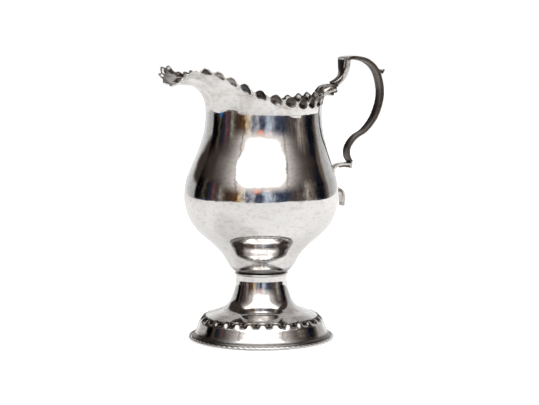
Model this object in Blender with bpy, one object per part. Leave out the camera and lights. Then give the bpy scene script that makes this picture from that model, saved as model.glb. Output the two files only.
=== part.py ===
"""A silver cream jug: a pear-shaped bowl with a flared, bead-punched rim, on a raised foot, with a scroll handle.

Lengths below are millimetres, measured from the bowl's own upright axis. The spout points to -X and the handle
to +X. The part's origin is the middle of its box, at the height of the table it stands on.
"""
import math

import bmesh
import bpy
from mathutils import Vector

MM = 0.001
TURN = 2.0 * math.pi

# Driving dimensions.
SPOUT_REACH = 47.6
HANDLE_REACH = 62.7
FOOT_RADIUS = 32.3
STEM_RADIUS = 11.45
STEM_TOP = 28.5
BELLY_RADIUS = 34.1
NECK_RADIUS = 25.55
NECK_HEIGHT = 100.0
WALL = 0.6
# The hand-raised neck sits a little towards the handle, and leans over between these heights.
NECK_SHIFT = 1.2
LEAN_START = 66.0
LEAN_END = 96.0
JOINT_GAP = 0.3

# The bowl's axis stands this far from the middle of the part's box.
AXIS_X = (SPOUT_REACH - HANDLE_REACH) / 2.0

# Each bead is a round punch mark with a short tail, and takes four of the mesh's columns.
BEAD_COLUMNS = 4
BEAD_SHARE = 0.44
BEAD_DEPTH_SHARE = 0.48

# Beads along half of the rim: how far each stands from the tip of the spout, measured along the rim.
RIM_BEADS = (2.8, 6.8, 11.2, 16.3, 21.7, 27.6, 33.6, 40.0, 47.4, 54.3, 61.4, 68.2, 74.5, 80.8, 86.8, 92.6, 98.0)
RIM_BEAD_DROP = 2.0
RIM_BEAD_TAIL = 1.3
SCALLOP = 0.6
SCALLOP_REACH = 3.0
FLARE_SHARES = (0.3, 0.55, 0.74, 0.84, 0.92, 1.0)

# Seat ring between the foot and the bowl.
COLLAR_RADIUS = STEM_RADIUS + 0.65
COLLAR_BOTTOM = STEM_TOP + JOINT_GAP
COLLAR_TOP = COLLAR_BOTTOM + 0.8
BOWL_BOTTOM = COLLAR_TOP + JOINT_GAP

# Rope-twist wire around the edge of the foot.
WIRE_RADIUS = 0.55
WIRE_RING_RADIUS = FOOT_RADIUS - WIRE_RADIUS
WIRE_HEIGHT = WIRE_RADIUS + 0.3
FLANGE_RADIUS = WIRE_RING_RADIUS - WIRE_RADIUS - JOINT_GAP

# Bowl outline below the neck: radius and height.
BOWL_PROFILE = [
    (COLLAR_RADIUS - 1.5, BOWL_BOTTOM),
    (COLLAR_RADIUS - 0.3, BOWL_BOTTOM + 0.3),
    (13.2, 31.2),
    (15.1, 33.8),
    (16.2, 35.8),
    (17.5, 37.9),
    (19.5, 40.1),
    (22.3, 42.9),
    (26.0, 46.0),
    (29.1, 49.2),
    (31.45, 52.6),
    (33.0, 56.3),
    (33.95, 60.6),
    (BELLY_RADIUS, 65.1),
    (33.15, 70.8),
    (30.95, 77.2),
    (28.5, 83.8),
    (26.55, 90.8),
    (25.7, 96.2),
    (NECK_RADIUS, NECK_HEIGHT),
]

# Half of the rim, spout tip to handle: forward, sideways, height, slope of the wall (degrees above level), and the
# direction, in degrees from the spout, in which the wall below leaves the neck.
RIM_OUTLINE = [
    (SPOUT_REACH, 0.0, 115.6, -14.0, 0.0),
    (46.1, 4.8, 115.2, -10.0, 5.0),
    (42.2, 7.4, 116.6, 2.0, 10.5),
    (37.3, 7.7, 118.2, 22.0, 19.0),
    (31.0, 12.0, 118.8, 36.0, 30.0),
    (23.4, 18.4, 115.1, 50.0, 42.0),
    (15.6, 23.7, 110.8, 58.0, 59.0),
    (6.9, 27.0, 107.5, 62.0, 77.0),
    (-2.8, 27.9, 105.8, 65.0, 96.0),
    (-12.1, 25.1, 105.4, 66.0, 116.0),
    (-20.0, 19.5, 105.9, 66.0, 136.0),
    (-25.8, 10.8, 106.9, 66.0, 157.0),
    (-27.8, 0.0, 107.4, 66.0, 180.0),
]

# Foot outline from the edge of the flange up to the stem: radius and height.
FOOT_PROFILE = [
    (FLANGE_RADIUS, 0.0),
    (FLANGE_RADIUS, 1.2),
    (30.3, 1.95),
    (29.7, 2.5),
    (29.3, 3.1),
    (28.5, 5.2),
    (27.8, 7.2),
    (26.7, 8.7),
    (25.2, 10.0),
    (21.4, 11.75),
    (17.2, 13.3),
    (14.2, 16.2),
    (12.7, 19.8),
    (11.75, 23.2),
    (11.4, 26.0),
    (STEM_RADIUS, STEM_TOP),
]
FOOT_BEADS = 28
FOOT_BEAD_HEIGHT = 8.6
FOOT_BEAD_TAIL = 1.3
FOOT_COLUMNS = FOOT_BEADS * BEAD_COLUMNS
FLANGE_WIDTH = 1.2
FOOT_LINING_SKIPS = (11, 13)

# Handle straps, seen from the side: distance from the bowl's axis, height, width and thickness.
C_SCROLL = [
    (44.8, 77.1, 4.8, 1.0),
    (43.4, 79.6, 4.8, 1.4),
    (43.8, 83.6, 4.8, 1.4),
    (47.2, 87.7, 5.0, 1.5),
    (52.2, 90.6, 5.2, 1.5),
    (57.2, 96.3, 5.4, 1.6),
    (60.2, 104.0, 5.4, 1.6),
    (60.3, 111.0, 5.4, 1.6),
    (57.9, 118.0, 5.4, 1.6),
    (53.0, 122.2, 5.6, 1.6),
    (47.0, 123.6, 6.6, 1.6),
    (42.6, 123.5, 8.8, 1.5),
    (41.1, 123.0, 9.0, 0.8),
]
# The arm ends in a flat foot that stands over the leaf.
UPPER_ARM = [
    (41.9, 122.2, 8.8, 1.9),
    (41.7, 119.4, 7.6, 2.0),
    (41.3, 116.9, 5.6, 2.1),
    (40.2, 114.9, 4.6, 2.2),
    (38.6, 113.3, 4.6, 2.0),
    (37.0, 112.2, 7.4, 1.5),
    (34.9, 111.8, 8.8, 1.2),
    (32.6, 111.8, 7.0, 0.9),
]
RIM_LEAF = [
    (35.7, 109.2, 8.6, 1.8),
    (33.9, 109.5, 9.6, 2.3),
    (31.9, 109.2, 10.2, 2.5),
    (30.3, 108.2, 9.8, 2.1),
    (29.4, 107.0, 8.4, 1.3),
    (29.0, 106.0, 6.5, 0.7),
]
LOWER_SCROLL = [
    (44.9, 75.0, 5.2, 2.4),
    (43.0, 75.3, 5.2, 2.2),
    (40.6, 75.4, 5.2, 1.9),
    (38.0, 74.9, 5.0, 1.7),
    (35.7, 73.3, 4.8, 1.6),
    (34.5, 70.6, 4.8, 1.6),
    (35.1, 67.6, 4.6, 1.6),
    (36.9, 65.3, 4.2, 1.6),
    (39.2, 64.2, 3.8, 1.6),
    (40.7, 62.8, 3.6, 1.5),
    (41.0, 60.2, 3.6, 1.5),
    (40.9, 57.0, 3.4, 1.4),
]
SPUR = [
    (60.3, 116.9, 2.4, 2.6),
    (61.4, 116.9, 1.8, 1.6),
    (HANDLE_REACH, 118.0, 0.8, 0.6),
]


def smooth_curve(points, spans):
    """Points along a smooth curve through the given ones, with this many steps between each pair."""
    rows = [[float(value) for value in point] for point in points]
    count = len(rows)
    slopes = []
    for index in range(count):
        before, after = rows[max(index - 1, 0)], rows[min(index + 1, count - 1)]
        gap = 2.0 if 0 < index < count - 1 else 1.0
        slopes.append([(b - a) / gap for a, b in zip(before, after)])
    curve = []
    for index in range(count - 1):
        for step in range(spans):
            t = step / spans
            start, end = (1 + 2 * t) * (1 - t) ** 2, t * t * (3 - 2 * t)
            leave, arrive = t * (1 - t) ** 2, t * t * (t - 1)
            curve.append([start * a + end * b + leave * m + arrive * n for a, b, m, n in
                          zip(rows[index], rows[index + 1], slopes[index], slopes[index + 1])])
    curve.append(rows[-1])
    return curve


def even_spacing(curve, count, measure):
    """The curve's points again, count of them, equally far apart along its first few values."""
    reach = [0.0]
    for a, b in zip(curve, curve[1:]):
        reach.append(reach[-1] + math.dist(a[:measure], b[:measure]))
    spaced, index = [], 0
    for step in range(count):
        goal = reach[-1] * step / (count - 1)
        while index < len(reach) - 2 and reach[index + 1] < goal:
            index += 1
        t = (goal - reach[index]) / max(reach[index + 1] - reach[index], 1e-9)
        spaced.append([a + (b - a) * t for a, b in zip(curve[index], curve[index + 1])])
    return spaced


def ease(share):
    """0 below 0, 1 above 1, and a smooth climb between."""
    t = min(max(share, 0.0), 1.0)
    return t * t * (3.0 - 2.0 * t)


def silver(name, color, roughness):
    """A plain silver finish."""
    material = bpy.data.materials.new(name)
    material.use_nodes = True
    shader = material.node_tree.nodes["Principled BSDF"]
    shader.inputs["Base Color"].default_value = (*color, 1.0)
    shader.inputs["Metallic"].default_value = 1.0
    shader.inputs["Roughness"].default_value = roughness
    return material


def loft(name, rings, material, closed=False):
    """A solid whose skin runs from ring to ring, capped at both ends unless the rings close on themselves."""
    shape = bmesh.new()
    rows = [[shape.verts.new((point + Vector((AXIS_X, 0.0, 0.0))) * MM) for point in ring] for ring in rings]
    pairs = list(zip(rows, rows[1:] + rows[:1])) if closed else list(zip(rows, rows[1:]))
    for lower, upper in pairs:
        for index in range(len(lower)):
            after = (index + 1) % len(lower)
            shape.faces.new((lower[index], lower[after], upper[after], upper[index]))
    if not closed:
        shape.faces.new(rows[0])
        shape.faces.new(rows[-1])
    bmesh.ops.recalc_face_normals(shape, faces=shape.faces)
    mesh = bpy.data.meshes.new(name)
    shape.to_mesh(mesh)
    shape.free()
    mesh.shade_smooth()
    mesh.set_sharp_from_angle(angle=math.radians(40.0))
    mesh.materials.append(material)
    piece = bpy.data.objects.new(name, mesh)
    bpy.context.scene.collection.objects.link(piece)
    return piece


def turned(profile, columns):
    """Rings of a turned shape, one for each radius and height."""
    return [[Vector((-r * math.cos(TURN * i / columns), r * math.sin(TURN * i / columns), z))
             for i in range(columns)] for r, z in profile]


def punch(across, along, gap, tail):
    """How deep a bead's mark is at a place, where beads stand this gap apart; the mark is drawn out by its tail."""
    radius = gap * BEAD_SHARE
    reach = along / tail if along > 0.0 else along
    return radius * BEAD_DEPTH_SHARE * max(0.0, 1.0 - (across ** 2 + reach ** 2) / radius ** 2)


def profile_normals(profile):
    """The outward direction, in radius and height, at each point of an outline that runs upwards."""
    normals = []
    for index in range(len(profile)):
        before, after = profile[max(index - 1, 0)], profile[min(index + 1, len(profile) - 1)]
        rise, run = after[1] - before[1], after[0] - before[0]
        size = math.hypot(rise, run)
        normals.append((rise / size, -run / size))
    return normals


def at_reach(curve, goals):
    """The curve's values at these distances along it, measured over its first three values."""
    reach = [0.0]
    for a, b in zip(curve, curve[1:]):
        reach.append(reach[-1] + math.dist(a[:3], b[:3]))
    places, index = [], 0
    for goal in goals:
        while index < len(reach) - 2 and reach[index + 1] < goal:
            index += 1
        t = min((goal - reach[index]) / (reach[index + 1] - reach[index]), 1.0)
        places.append([a + (b - a) * t for a, b in zip(curve[index], curve[index + 1])])
    return places, reach[-1]


def rim_stations():
    """The rim's outline values at each column, all the way round from the spout tip, and the gap between beads there.

    Columns 2, 6, 10 and so on are the middles of beads."""
    mirrored = [(forward, -side, height, slope, -bearing) for forward, side, height, slope, bearing in RIM_OUTLINE]
    before, after = mirrored[1], list(mirrored[-2])
    after[4] = 360.0 + after[4]
    half = smooth_curve([before] + RIM_OUTLINE + [after], 12)[12:-12]
    length = at_reach(half, [0.0])[1]
    marks = [-RIM_BEADS[0]] + list(RIM_BEADS) + [length]
    goals, gaps = [], []
    for start, end in zip(marks, marks[1:]):
        for step in range(BEAD_COLUMNS):
            goals.append(start + (end - start) * step / BEAD_COLUMNS)
            gaps.append(end - start)
    first = BEAD_COLUMNS // 2
    goals, gaps = goals[first:] + [length], gaps[first:] + [gaps[-1]]
    half, _ = at_reach(half, goals)
    half = [station + [gap] for station, gap in zip(half, gaps)]
    other = [[forward, -side, height, slope, -bearing, gap] for forward, side, height, slope, bearing, gap in half[-2:0:-1]]
    return half + other


def flare_column(stations, index, share):
    """A place on the bowl's smooth outer wall above the neck, share of the way up, below one rim station."""
    forward, side, height, slope, bearing, _ = stations[index]
    before, after = stations[index - 1], stations[(index + 1) % len(stations)]
    rim = Vector((-forward, side, height))
    angle, lift = math.radians(bearing), math.radians(slope)
    front = max(0.0, math.cos(angle)) ** 2
    neck = Vector((NECK_SHIFT - NECK_RADIUS * math.cos(angle), NECK_RADIUS * math.sin(angle), NECK_HEIGHT))
    outward = Vector((-(after[1] - before[1]), before[0] - after[0], 0.0)).normalized()
    travel = Vector((rim.x - neck.x, rim.y - neck.y, 0.0))
    reach = (rim - neck).length
    agreement = max(0.0, outward.dot(travel.normalized())) if travel.length > 0.5 else 1.0
    leave = Vector((0.0, 0.0, reach * (0.8 + 1.0 * front)))
    arrive = outward * math.cos(lift) + Vector((0.0, 0.0, math.sin(lift)))
    arrive = arrive * reach * (0.5 + 0.5 * agreement + 0.35 * front)
    t = share
    return (neck * ((1 + 2 * t) * (1 - t) ** 2) + rim * (t * t * (3 - 2 * t))
            + leave * (t * (1 - t) ** 2) + arrive * (t * t * (t - 1)))


def bowl_rows(stations):
    """The bowl's outer and inner rings below the neck."""
    low = smooth_curve(BOWL_PROFILE, 4)
    low = low[:5] + even_spacing(low[5:], 15, 2)
    outer, inner = [], []
    for row, ((radius, height), (across, up)) in enumerate(zip(low, profile_normals(low))):
        bearings = [math.radians(station[4]) for station in stations]
        middle = NECK_SHIFT * ease((height - LEAN_START) / (LEAN_END - LEAN_START))
        outer.append([Vector((middle - radius * math.cos(a), radius * math.sin(a), height)) for a in bearings])
        if row % 2 == 0:
            thin, top = radius - WALL * across, height - WALL * up
            inner.append([Vector((middle - thin * math.cos(a), thin * math.sin(a), top)) for a in bearings])
    return outer, inner


def build_bowl(material):
    """The bowl: one raised sheet, with its beads punched inwards along the rim."""
    stations = rim_stations()
    columns = len(stations)
    outer, inner = bowl_rows(stations)
    grid = [[flare_column(stations, index, share) for index in range(columns)] for share in FLARE_SHARES]
    below = outer[-1]
    for row, ring in enumerate(grid):
        above = grid[min(row + 1, len(grid) - 1)]
        skin, lining = [], []
        for index in range(columns):
            gap = stations[index][5]
            climb = above[index] - below[index]
            normal = climb.cross(ring[(index + 1) % columns] - ring[index - 1]).normalized()
            from_edge = (grid[-1][index] - ring[index]).length
            share = (index % BEAD_COLUMNS - BEAD_COLUMNS // 2) / BEAD_COLUMNS
            mark = punch(share * gap, from_edge - RIM_BEAD_DROP, gap, RIM_BEAD_TAIL)
            lift = SCALLOP * math.cos(TURN * share) * max(0.0, 1.0 - from_edge / SCALLOP_REACH)
            point = ring[index] + climb.normalized() * lift
            skin.append(point - normal * mark)
            lining.append(point - normal * (mark + WALL))
        outer.append(skin)
        inner.append(lining)
        below = ring
    return loft("bowl", outer + inner[::-1], material)


def build_foot(material):
    """The raised foot, hollow underneath, with its beads pushed outwards along the shoulder."""
    outer, inner = [], []
    for row, ((radius, height), (across, up)) in enumerate(zip(FOOT_PROFILE, profile_normals(FOOT_PROFILE))):
        flat = height == 0.0
        gap = TURN * radius / FOOT_BEADS
        outer_ring, inner_ring = [], []
        for index in range(FOOT_COLUMNS):
            angle = TURN * index / FOOT_COLUMNS
            share = (index % BEAD_COLUMNS - BEAD_COLUMNS // 2) / BEAD_COLUMNS
            mark = 0.0 if height < 2.0 else punch(share * gap, FOOT_BEAD_HEIGHT - height, gap, FOOT_BEAD_TAIL)
            thin = radius - FLANGE_WIDTH if flat else radius + (mark - WALL) * across
            full = radius + mark * across
            outer_ring.append(Vector((-full * math.cos(angle), full * math.sin(angle), height + mark * up)))
            under = height if flat else min(height + (mark - WALL) * up, STEM_TOP - WALL)
            inner_ring.append(Vector((-thin * math.cos(angle), thin * math.sin(angle), under)))
        outer.append(outer_ring)
        if row not in FOOT_LINING_SKIPS:
            inner.append(inner_ring)
    return loft("foot", inner[::-1] + outer, material)


def build_collar(material):
    """The seat ring between the foot and the bowl."""
    edge, columns = 0.3, 56
    profile = [(COLLAR_RADIUS - edge, COLLAR_BOTTOM), (COLLAR_RADIUS, COLLAR_BOTTOM + edge),
               (COLLAR_RADIUS, COLLAR_TOP - edge), (COLLAR_RADIUS - edge, COLLAR_TOP)]
    return loft("foot_collar", turned(profile, columns), material)


def build_foot_wire(material):
    """The wire that edges the foot."""
    sides, columns = 6, 72
    profile = [(WIRE_RING_RADIUS + WIRE_RADIUS * math.cos(TURN * side / sides),
                WIRE_HEIGHT + WIRE_RADIUS * math.sin(TURN * side / sides)) for side in range(sides)]
    return loft("foot_wire", turned(profile, columns), material, closed=True)


def strap_section(width, thickness, hollow):
    """A strap's cut end: across and outwards, with softened corners and a face hollowed by this much."""
    half, deep = width / 2.0, thickness / 2.0
    edge = min(half, deep) * 0.35
    return [(-half, deep - edge), (-half + edge, deep), (half - edge, deep), (half, deep - edge),
            (half, edge - deep), (half - edge, -deep), (0.0, hollow - deep), (edge - half, -deep),
            (-half, edge - deep)]


def strap(name, points, material, spans=4, hollow=0.0, hollow_end=0.0):
    """A strap that follows a curve in the plane of the handle, hollowed along its inner face."""
    curve = smooth_curve(points, spans)
    rings = []
    for index, (x, z, width, thickness) in enumerate(curve):
        before, after = curve[max(index - 1, 0)], curve[min(index + 1, len(curve) - 1)]
        along = Vector((after[0] - before[0], 0.0, after[1] - before[1])).normalized()
        outward = Vector((along.z, 0.0, -along.x))
        share = index / (len(curve) - 1)
        depth = hollow + (hollow_end - hollow) * share
        rings.append([Vector((x, across, z)) + outward * out
                      for across, out in strap_section(width, thickness, depth)])
    return loft(name, rings, material)


def build_handle(material):
    """The cast handle: a C-scroll with a spur, an arm to the leaf on the rim, and a lower scroll on the bowl."""
    strap("handle_c_scroll", C_SCROLL, material, hollow=0.2, hollow_end=0.4)
    strap("handle_upper_arm", UPPER_ARM, material, hollow=0.9, hollow_end=0.2)
    strap("rim_leaf", RIM_LEAF, material, hollow=0.2, hollow_end=0.2)
    strap("handle_lower_scroll", LOWER_SCROLL, material, hollow=0.3, hollow_end=0.3)
    strap("handle_spur", SPUR, material)


def main():
    for thing in list(bpy.data.objects):
        bpy.data.objects.remove(thing)
    bright = silver("bright_silver", (0.86, 0.85, 0.83), 0.12)
    cast = silver("cast_silver", (0.74, 0.72, 0.69), 0.2)
    build_bowl(bright)
    build_collar(bright)
    build_foot(bright)
    build_foot_wire(bright)
    build_handle(cast)


main()
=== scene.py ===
"""A silver cream jug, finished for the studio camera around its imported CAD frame.

Lengths are millimetres about the foot's own upright axis, as in the CAD. The spout points to -X and the
handle to +X. place() turns them into metres in the frame. Every piece stands for the CAD node whose name it
carries.
"""

import math

import bpy
import numpy as np
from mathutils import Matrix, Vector


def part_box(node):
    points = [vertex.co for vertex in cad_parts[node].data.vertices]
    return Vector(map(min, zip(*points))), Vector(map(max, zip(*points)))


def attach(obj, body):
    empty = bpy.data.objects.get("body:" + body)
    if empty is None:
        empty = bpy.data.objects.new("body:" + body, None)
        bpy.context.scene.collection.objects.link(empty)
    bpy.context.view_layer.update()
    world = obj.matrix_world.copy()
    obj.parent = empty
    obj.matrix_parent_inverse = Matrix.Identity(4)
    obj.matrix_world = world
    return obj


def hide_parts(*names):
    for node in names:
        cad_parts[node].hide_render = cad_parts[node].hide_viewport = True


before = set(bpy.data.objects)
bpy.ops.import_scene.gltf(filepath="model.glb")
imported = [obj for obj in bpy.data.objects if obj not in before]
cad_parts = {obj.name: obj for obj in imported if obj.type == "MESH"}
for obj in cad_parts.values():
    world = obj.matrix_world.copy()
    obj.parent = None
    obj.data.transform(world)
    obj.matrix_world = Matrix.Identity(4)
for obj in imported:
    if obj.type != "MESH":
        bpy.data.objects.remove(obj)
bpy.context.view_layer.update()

MM = 0.001
TURN = 2.0 * math.pi
FOOT_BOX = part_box("foot")
AXIS = np.array([(FOOT_BOX[0].x + FOOT_BOX[1].x) / 2.0, 0.0, 0.0])

# Sizes shared with the CAD.
SPOUT_REACH = 47.6
HANDLE_REACH = 62.7
STEM_RADIUS = 11.45
STEM_TOP = 28.6
BELLY_RADIUS = 34.1
NECK_RADIUS = 25.55
NECK_HEIGHT = 100.0
WALL = 0.6
# The hand-raised neck sits a little towards the handle.
NECK_SHIFT = 1.2
COLLAR_RADIUS = 12.1
COLLAR_BOTTOM = 28.8
COLLAR_TOP = 29.6
BOWL_BOTTOM = 29.8
WIRE_RADIUS = 0.55
WIRE_RING_RADIUS = 31.75
WIRE_HEIGHT = 0.85
FLANGE_RADIUS = 30.9

# Beads along half of the rim: how far each stands from the tip of the spout, measured along the rim.
RIM_BEADS = (
    2.8, 6.8, 11.2, 16.3, 21.7, 27.6, 33.6, 40.0, 47.4,
    54.3, 61.4, 68.2, 74.5, 80.8, 86.8, 92.6, 98.0,
)
# How dark the dents of the near side's beads are painted, counted from the spout tip: painted shade, with
# their tarnish.
BEAD_SHADE_AND_TARNISH = (
    0.7, 0.7, 0.8, 0.4, 0.95, 0.55, 0.6, 0.95, 1.0,
    0.75, 0.9, 0.95, 1.0, 0.95, 0.9, 0.8, 0.8,
)
# Where a row of rim_stations() keeps its bearing at the neck, the width of its bead gap, its place in that
# gap, and its distance along the rim.
BEARING = 4
GAP = 5
PLACE = 6
ALONG = 7
# A bead's columns, its middle below the rim, its tail, its radius as a share of its gap, and its depth.
RIM_BEAD_COLUMNS = 16
RIM_BEAD_DROP = 1.6
RIM_BEAD_TAIL = 0.68
RIM_BEAD_SHARE = 0.44
RIM_BEAD_DEPTH = 0.55
# The rim's edge rises this much between beads, and the wave fades this far below it.
SCALLOP = 0.65
SCALLOP_REACH = 4.0
# Where the lip was bent by hand: how much it lifts, where along the rim, and how far that spreads. Distances
# along the rim start at the spout tip, and are negative on the near side.
LIP_BENDS = (
    (4.2, 8.3, 5.5),
    (-2.6, 19.5, 5.5),
    (-3.0, -7.0, 5.5),
)
# The far edge of the lip is turned up further: degrees, where along the rim, and how far that spreads.
LIP_TURN = (55.0, 9.0, 7.0)
# How far the rim leans down towards the far side.
RIM_LEAN = -0.6
# How far along the rim the cleaner lining of the spout reaches, and how wide a stripe of the painted shade
# along the lip's near edge is.
SPOUT_SPREAD = 15.0
SHADE_STRIPE = 1.1

BOWL_PROFILE = [
    (10.6, BOWL_BOTTOM),
    (11.6, BOWL_BOTTOM + 0.2),
    (13.0, 31.0),
    (14.0, 32.1),
    (15.1, 33.8),
    (16.2, 35.8),
    (17.5, 37.9),
    (19.5, 40.1),
    (22.3, 42.9),
    (26.0, 46.0),
    (29.1, 49.2),
    (31.45, 52.6),
    (33.0, 56.3),
    (33.95, 60.6),
    (BELLY_RADIUS, 65.1),
    (33.15, 70.8),
    (30.95, 77.2),
    (28.5, 83.8),
    (26.55, 90.8),
    (25.7, 96.2),
    (NECK_RADIUS, NECK_HEIGHT),
]
# Half of the rim, spout tip to handle: forward, sideways, height, slope of the wall and bearing at the neck.
RIM_OUTLINE = [
    (SPOUT_REACH, 0.0, 115.6, -14.0, 0.0),
    (46.1, 4.8, 115.2, -10.0, 5.0),
    (42.2, 7.4, 116.6, 2.0, 10.5),
    (37.3, 7.7, 118.2, 22.0, 19.0),
    (31.0, 12.0, 118.8, 36.0, 30.0),
    (23.4, 18.4, 115.1, 50.0, 42.0),
    (15.6, 23.7, 110.8, 58.0, 59.0),
    (6.9, 27.0, 107.5, 62.0, 77.0),
    (-2.8, 27.9, 105.8, 65.0, 96.0),
    (-12.1, 25.1, 105.4, 66.0, 116.0),
    (-20.0, 19.5, 105.9, 66.0, 136.0),
    (-25.8, 10.8, 106.9, 66.0, 157.0),
    (-27.8, 0.0, 107.4, 66.0, 180.0),
]

# Beads around the foot: their count, the columns of each, how far they stand out, their radius, and the
# height where their arched tops begin.
FOOT_BEADS = 28
FOOT_BEAD_COLUMNS = 20
FOOT_BEAD_RISE = 0.7
FOOT_BEAD_RADIUS = 2.45
FOOT_BEAD_TOP = 10.3
# The bright cord over each bead: how far it stands out, and half its width.
CORD_RISE = 0.32
CORD_WIDTH = 0.26
# The bearing that the painted shade on the foot is measured along, the camera's own bearing.
FOOT_SHADE_BEARING = math.radians(-27.0)
WIRE_TWISTS = 38
FOOT_PROFILE = [
    (FLANGE_RADIUS - FOOT_BEAD_RISE, 0.0),
    (FLANGE_RADIUS - FOOT_BEAD_RISE, 0.95),
    (29.85, 1.4),
    (29.2, 2.0),
    (28.7, 2.8),
    (28.25, 3.85),
    (27.85, 4.95),
    (27.45, 6.05),
    (27.0, 7.3),
    (26.2, 8.7),
    (25.1, 10.0),
    (21.4, 11.75),
    (17.2, 13.3),
    (14.2, 16.2),
    (12.7, 19.8),
    (11.75, 23.2),
    (11.4, 25.6),
    (11.3, 26.8),
    (STEM_RADIUS, STEM_TOP),
]

# Rings between two rows of a strap, and the flutes across the leaf.
STRAP_SPANS = 10
FLUTE_LOBES = 3
# Handle straps, seen from the side: distance from the axis, height, width and thickness.
C_SCROLL = [
    (44.9, 76.7, 4.8, 1.2),
    (43.4, 79.6, 4.8, 1.4),
    (43.8, 83.6, 4.8, 1.4),
    (47.2, 87.7, 5.0, 1.5),
    (52.2, 90.6, 5.2, 1.5),
    (57.2, 96.3, 5.4, 1.6),
    (60.2, 104.0, 5.4, 1.6),
    (60.3, 111.0, 5.4, 1.6),
    (57.9, 118.0, 5.4, 1.6),
    (53.0, 122.2, 5.6, 1.6),
    (47.0, 123.6, 6.6, 1.6),
    (42.6, 123.5, 8.8, 1.5),
    (41.1, 123.0, 9.0, 0.8),
]
UPPER_ARM = [
    (41.9, 122.7, 8.8, 2.0),
    (41.7, 119.4, 7.6, 2.1),
    (41.3, 116.9, 5.6, 2.2),
    (40.2, 114.7, 4.6, 2.3),
    (38.2, 113.0, 4.4, 2.4),
    (35.9, 111.9, 4.8, 2.2),
]
# The flat oval plate that the arm stands on: distance, height, half length, half width and half thickness.
ARM_PLATE = (35.2, 111.3, 2.9, 4.4, 0.65)
RIM_LEAF = [
    (35.7, 109.7, 8.6, 2.0),
    (33.9, 110.0, 9.6, 2.6),
    (31.9, 109.5, 10.2, 2.8),
    (30.2, 108.4, 9.8, 2.4),
    (29.2, 107.0, 8.4, 1.5),
    (28.8, 105.9, 6.5, 0.7),
]
# The little rolls at the leaf's outer end: distance, height, radius and width.
LEAF_ROLLS = ((35.4, 109.0, 1.1, 8.6), (34.0, 107.6, 0.8, 8.0))
LOWER_SCROLL = [
    (44.9, 75.0, 5.2, 2.6),
    (43.0, 75.3, 5.2, 2.2),
    (40.6, 75.4, 5.2, 1.9),
    (38.0, 74.9, 5.0, 1.7),
    (35.7, 73.3, 4.8, 1.6),
    (34.5, 70.6, 4.8, 1.6),
    (35.1, 67.6, 4.6, 1.6),
    (36.9, 65.3, 4.2, 1.6),
    (39.2, 64.2, 3.8, 1.6),
    (40.7, 62.8, 3.6, 1.5),
    (41.0, 60.2, 3.6, 1.5),
    (40.9, 57.0, 3.4, 1.4),
]
SPUR = [
    (60.3, 116.9, 2.4, 2.6),
    (61.4, 116.9, 1.8, 1.6),
    (HANDLE_REACH, 118.0, 0.8, 0.6),
]

# The camera, about the bowl's axis, and the stage.
CAMERA_BEARING = math.radians(-27.0)
CAMERA_DISTANCE = 750.0
CAMERA_HEIGHT = 143.0
AIM_HEIGHT = 60.3
AIM_ASIDE = 3.65
LENS = 114.0
SENSOR = 36.0
TABLE_FRONT = 1000.0
TABLE_BACK = 2600.0
TABLE_SIDE = 800.0
# The lamp that casts the shadow: in front, to the camera's right and up, then its size and its power.
SHADOW_LAMP_SPOT = (-500.0, 700.0, 1100.0)
SHADOW_LAMP_SIZE = 400.0
SHADOW_LAMP_WATTS = 6.0

# The two finishes: clean metal, tarnished metal, and how strong each kind of wear is; the hollow strength
# and crevice colour also set how dark the painted shade in the hollows is.
BRIGHT_FINISH = {
    "bright": (0.87, 0.87, 0.865),
    "tarnish": (0.34, 0.27, 0.22),
    "wear": {"film": 0.09, "spots": 0.20, "hollow": 0.97, "crevice": (0.035, 0.028, 0.024),
             "gloss": (0.03, 0.11), "planish": 0.030, "waves": 0.12, "scratch": 0.0006},
}
CAST_FINISH = {
    "bright": (0.70, 0.68, 0.655),
    "tarnish": (0.20, 0.155, 0.13),
    "wear": {"film": 0.55, "spots": 0.35, "hollow": 0.95, "crevice": (0.075, 0.058, 0.048),
             "gloss": (0.06, 0.18), "planish": 0.10, "waves": 0.05, "scratch": 0.0010},
}

# What stands in the dim half of the studio: its bearing in degrees, to the camera's right, and its colour.
ROOM_STOPS = [
    (-124.0, (24, 22, 20)),
    (-110.0, (12, 12, 14)),
    (-102.0, (16, 15, 15)),
    (-96.0, (78, 70, 62)),
    (-90.0, (28, 26, 26)),
    (-83.0, (44, 50, 64)),
    (-76.0, (100, 62, 62)),
    (-70.0, (60, 58, 60)),
    (-63.0, (140, 132, 122)),
    (-57.0, (80, 70, 60)),
    (-47.0, (62, 46, 36)),
    (-39.0, (92, 66, 44)),
    (-33.0, (196, 158, 116)),
    (-26.0, (208, 204, 194)),
    (-20.0, (84, 84, 104)),
    (-13.0, (170, 172, 176)),
    (-6.0, (66, 70, 92)),
    (0.0, (72, 80, 102)),
    (7.0, (180, 190, 204)),
    (16.0, (156, 162, 172)),
    (24.0, (66, 74, 95)),
    (42.0, (58, 62, 74)),
    (55.0, (82, 72, 68)),
    (66.0, (78, 74, 72)),
    (74.0, (150, 140, 132)),
    (83.0, (98, 90, 82)),
    (94.0, (26, 28, 38)),
    (107.0, (22, 22, 28)),
    (115.0, (100, 90, 82)),
    (126.0, (72, 64, 56)),
]
# Small bright things there: bearing, half width, height above the horizon, half height and colour.
ROOM_PATCHES = [
    (-6.0, 6.5, 17.5, 4.5, (245, 120, 70)),
    (9.0, 7.0, 18.5, 4.0, (245, 222, 226)),
    (-93.0, 4.0, -5.0, 2.2, (20, 110, 180)),
]
CEILING_COLOR = (62, 54, 50)
HALO_COLOR = (255, 246, 240)
TWIG_COLOR = (60, 52, 48)
SCREEN_COLOR = (62, 54, 50)
# The big soft lamp, brighter than white.
LAMP_LIGHT = (2.2, 2.18, 2.15)
# The backdrop behind the jug: beside the studio, straight behind, and higher up.
BACKDROP_EDGE = (172, 170, 168)
BACKDROP_MIDDLE = (240, 240, 240)
BACKDROP_HIGH = (172, 168, 166)

# ---------------------------------------------------------------------------------------------------- curves


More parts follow.
